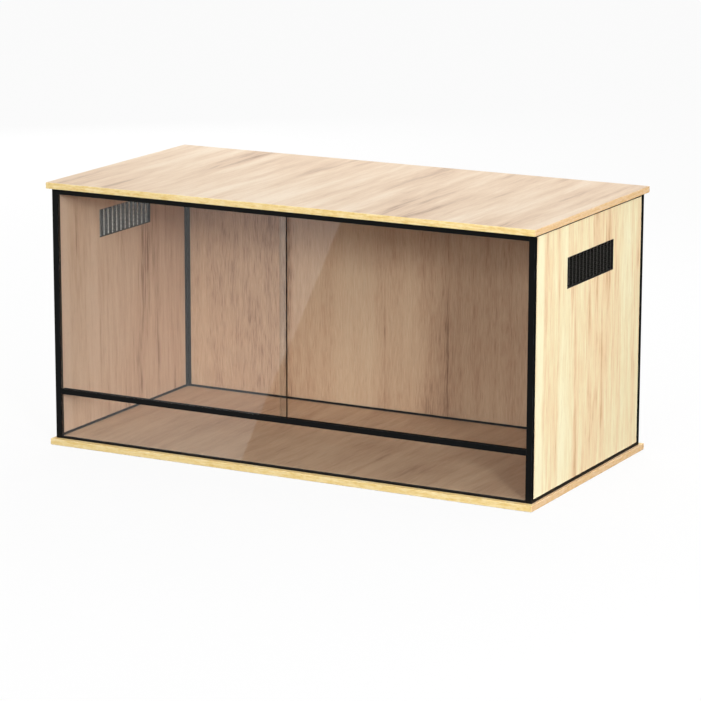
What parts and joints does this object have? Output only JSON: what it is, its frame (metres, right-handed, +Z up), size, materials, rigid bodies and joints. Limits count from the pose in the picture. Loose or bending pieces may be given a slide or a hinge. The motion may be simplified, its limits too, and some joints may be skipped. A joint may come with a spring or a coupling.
{
  "type": "terrarium cabinet",
  "caption": "Low rectangular terrarium cabinet of wood-look boards in a black frame, with sliding glass doors over a fixed lower pane and mesh vents in its sides.",
  "frame": {"origin": "middle of the base board's underside, on the surface the cabinet stands on", "axes": "+X to the right along the front, +Y from the glass front to the back panel, +Z up"},
  "size_m": [1.2, 0.6, 0.602],
  "materials": {
    "top_board_decor": "matt pale oak laminate, grain from front to back",
    "top_edge_band": "matt oak-look edge band, slightly yellow",
    "base_board_decor": "matt pale oak laminate",
    "base_edge_band": "matt oak-look edge band, slightly yellow",
    "floor_decor": "matt oak laminate, grain from front to back",
    "side_panel_decor": "matt pale pine laminate, upright grain",
    "back_panel_decor": "matt oak laminate, upright grain in wide planks",
    "black_frame": "satin black coated aluminium",
    "tinted_glass": "polished, faintly bronze tinted",
    "gasket_rubber": "soft black",
    "glide_plastic": "smooth black nylon",
    "liner_plastic": "matt black",
    "vent_wire": "woven wire, dark grey coated",
    "bracket_steel": "satin black",
    "screw_steel": "zinc plated"
  },
  "bodies": {
    "cabinet": {"base_board": "base_board_decor", "base_edge_bands": "base_edge_band", "top_board": "top_board_decor", "top_edge_bands": "top_edge_band", "floor_panel": "floor_decor", "left_side_panel": "side_panel_decor", "right_side_panel": "side_panel_decor", "back_panel": "back_panel_decor", "front_left_post": "black_frame", "front_right_post": "black_frame", "rear_left_post": "black_frame", "rear_right_post": "black_frame", "left_bottom_rail": "black_frame", "right_bottom_rail": "black_frame", "rear_bottom_rail": "black_frame", "left_top_rail": "black_frame", "right_top_rail": "black_frame", "rear_top_rail": "black_frame", "top_door_track": "black_frame", "mid_rail": "black_frame", "front_bottom_rail": "black_frame", "lower_pane": "tinted_glass", "lower_pane_gaskets": "gasket_rubber", "left_vent_liner": "liner_plastic", "right_vent_liner": "liner_plastic", "left_vent_mesh": "vent_wire", "right_vent_mesh": "vent_wire", "top_brackets": "bracket_steel", "bracket_screws": "screw_steel", "post_screws": "screw_steel"},
    "left_door": {"left_door_glass": "tinted_glass", "left_door_glides": "glide_plastic"},
    "right_door": {"right_door_glass": "tinted_glass", "right_door_glides": "glide_plastic"}
  },
  "joints": [
    {"name": "left_door_slide", "type": "slide", "parent": "cabinet", "child": "left_door", "axis": [1, 0, 0], "range_m": [0, 0.5745]},
    {"name": "right_door_slide", "type": "slide", "parent": "cabinet", "child": "right_door", "axis": [1, 0, 0], "range_m": [-0.5615, 0]}
  ]
}
